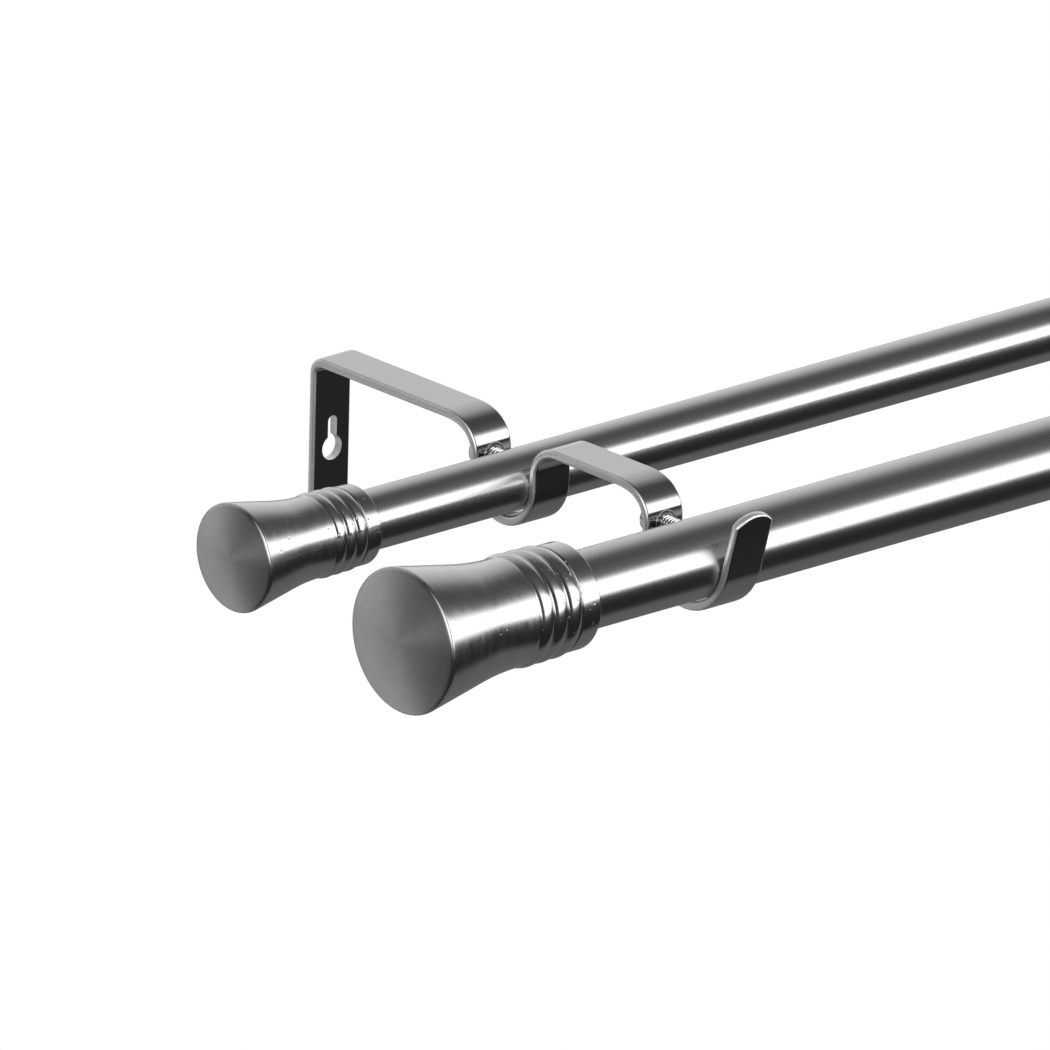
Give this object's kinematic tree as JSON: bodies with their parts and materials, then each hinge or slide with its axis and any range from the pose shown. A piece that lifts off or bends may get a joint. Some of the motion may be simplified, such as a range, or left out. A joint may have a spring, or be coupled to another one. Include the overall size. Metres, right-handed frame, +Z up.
{
  "type": "double curtain pole",
  "caption": "Double curtain pole: a thick front pole and a thin back pole with flared, ringed finials, held by bent strip brackets with keyholes for wall screws.",
  "frame": {"origin": "half way between the two keyholes' round holes, on the wall plane", "axes": "+X along the poles, +Y into the wall, +Z up"},
  "size_m": [1.2916, 0.1997, 0.0621],
  "materials": {
    "pole_steel": "satin nickel plate, brushed along the pole's turn",
    "finial_steel": "satin nickel plate, turned and brushed round the axis",
    "bracket_steel": "semi-gloss nickel plate on bent strip",
    "screw_steel": "bright zinc plate",
    "bush_plastic": "plain moulded"
  },
  "bodies": {
    "root": {"front_pole": "pole_steel", "back_pole": "pole_steel", "bracket_left": "bracket_steel", "front_finial_left": "finial_steel", "front_finial_bush_left": "bush_plastic", "front_pole_screw_left": "screw_steel", "back_finial_left": "finial_steel", "back_finial_bush_left": "bush_plastic", "back_pole_screw_left": "screw_steel", "bracket_right": "bracket_steel", "front_finial_right": "finial_steel", "front_finial_bush_right": "bush_plastic", "front_pole_screw_right": "screw_steel", "back_finial_right": "finial_steel", "back_finial_bush_right": "bush_plastic", "back_pole_screw_right": "screw_steel"}
  },
  "joints": []
}
